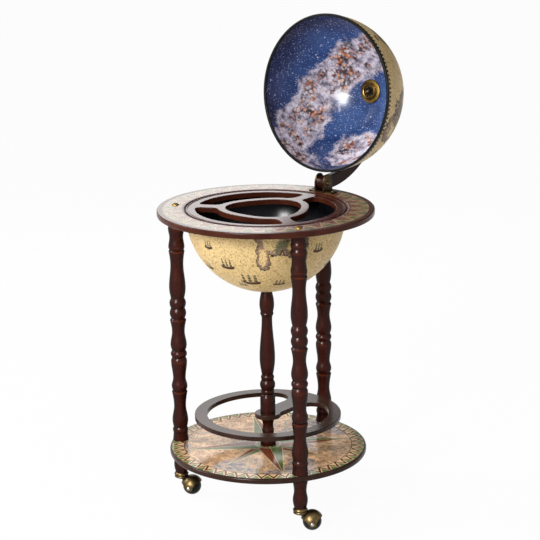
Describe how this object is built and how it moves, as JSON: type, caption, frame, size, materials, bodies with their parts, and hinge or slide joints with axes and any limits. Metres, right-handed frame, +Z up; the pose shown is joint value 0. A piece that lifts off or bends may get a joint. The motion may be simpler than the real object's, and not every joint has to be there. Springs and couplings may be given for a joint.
{
  "type": "floor globe bar",
  "caption": "Globe drinks cabinet on turned legs with ball casters, a swing-open lid on a curved arm, a cut-out bottle tray, a bottle ring and a round bottom shelf.",
  "frame": {"origin": "on the floor, under the middle of the bounding box of the bar with its lid open", "axes": "+Z up, +Y from the front towards the rear leg and the lid hinge, +X to the right seen from the front"},
  "size_m": [0.45, 0.6322, 1.0165],
  "materials": {
    "stained_wood": "dark mahogany stain under satin lacquer",
    "ring_print": "board with a printed band, lacquered, dark stained edge",
    "shelf_print": "board with a printed compass rose, lacquered, dark stained edge",
    "tray_lacquer": "brown stained board, satin lacquer",
    "globe_print": "parchment coloured map print, glossy black inside",
    "night_print": "map print outside, deep blue night sky print inside, gloss",
    "black_plastic": "black moulded plastic, semi-gloss",
    "antique_brass": "antique brass, browned in the recesses",
    "steel": "plain zinc plated steel"
  },
  "bodies": {
    "stand": {"table_ring": "ring_print", "tray": "tray_lacquer", "lower_globe_bowl": "globe_print", "bowl_screw": "antique_brass", "upper_column": "stained_wood", "lower_column": "stained_wood", "column_tie_rod": "steel", "column_washer": "steel", "column_nut": "steel", "bottle_holder": "tray_lacquer", "bottom_shelf": "shelf_print", "hinge_bracket": "antique_brass", "bracket_screw_left": "antique_brass", "bracket_screw_right": "antique_brass", "hinge_pin": "antique_brass", "hinge_pin_nut": "antique_brass", "ring_screw_front_left": "antique_brass", "leg_front_left": "stained_wood", "foot_front_left": "stained_wood", "leg_stud_front_left": "steel", "caster_socket_front_left": "antique_brass", "ring_screw_front_right": "antique_brass", "leg_front_right": "stained_wood", "foot_front_right": "stained_wood", "leg_stud_front_right": "steel", "caster_socket_front_right": "antique_brass", "ring_screw_rear": "antique_brass", "leg_rear": "stained_wood", "foot_rear": "stained_wood", "leg_stud_rear": "steel", "caster_socket_rear": "antique_brass"},
    "lid_arm": {"meridian_arm": "stained_wood", "pole_bolt": "antique_brass", "pole_spacer": "antique_brass", "pole_cap_nut": "antique_brass"},
    "lid_globe": {"lid_shell": "night_print", "lid_rim": "black_plastic", "pole_cup_washer": "antique_brass", "pole_star_washer": "black_plastic"},
    "caster_front_left": {"caster_horn_front_left": "antique_brass", "caster_axle_front_left": "steel"},
    "ball_front_left": {"caster_ball_front_left": "black_plastic"},
    "caster_front_right": {"caster_horn_front_right": "antique_brass", "caster_axle_front_right": "steel"},
    "ball_front_right": {"caster_ball_front_right": "black_plastic"},
    "caster_rear": {"caster_horn_rear": "antique_brass", "caster_axle_rear": "steel"},
    "ball_rear": {"caster_ball_rear": "black_plastic"}
  },
  "joints": [
    {"name": "lid_hinge", "type": "hinge", "parent": "stand", "child": "lid_arm", "pos_m": [0, 0.10042, 0.6582], "axis": [1, 0, 0], "range_deg": [0, 96.4]},
    {"name": "lid_spin", "type": "hinge", "parent": "lid_arm", "child": "lid_globe", "pos_m": [0, 0.10755, 0.8501], "axis": [0, 0.9938, -0.1115], "continuous": true},
    {"name": "caster_front_left_swivel", "type": "hinge", "parent": "stand", "child": "caster_front_left", "pos_m": [-0.16515, -0.18643, 0.05], "axis": [0, 0, 1], "continuous": true},
    {"name": "caster_front_left_roll", "type": "hinge", "parent": "caster_front_left", "child": "ball_front_left", "pos_m": [-0.14275, -0.17783, 0.01956], "axis": [-0.3584, 0.9336, 0], "continuous": true},
    {"name": "caster_front_right_swivel", "type": "hinge", "parent": "stand", "child": "caster_front_right", "pos_m": [0.16515, -0.18643, 0.05], "axis": [0, 0, 1], "continuous": true},
    {"name": "caster_front_right_roll", "type": "hinge", "parent": "caster_front_right", "child": "ball_front_right", "pos_m": [0.18354, -0.171, 0.01956], "axis": [-0.6428, 0.766, 0], "continuous": true},
    {"name": "caster_rear_swivel", "type": "hinge", "parent": "stand", "child": "caster_rear", "pos_m": [0, 0.09962, 0.05], "axis": [0, 0, 1], "continuous": true},
    {"name": "caster_rear_roll", "type": "hinge", "parent": "caster_rear", "child": "ball_rear", "pos_m": [0.00621, 0.1228, 0.01956], "axis": [-0.9659, 0.2588, 0], "continuous": true}
  ]
}
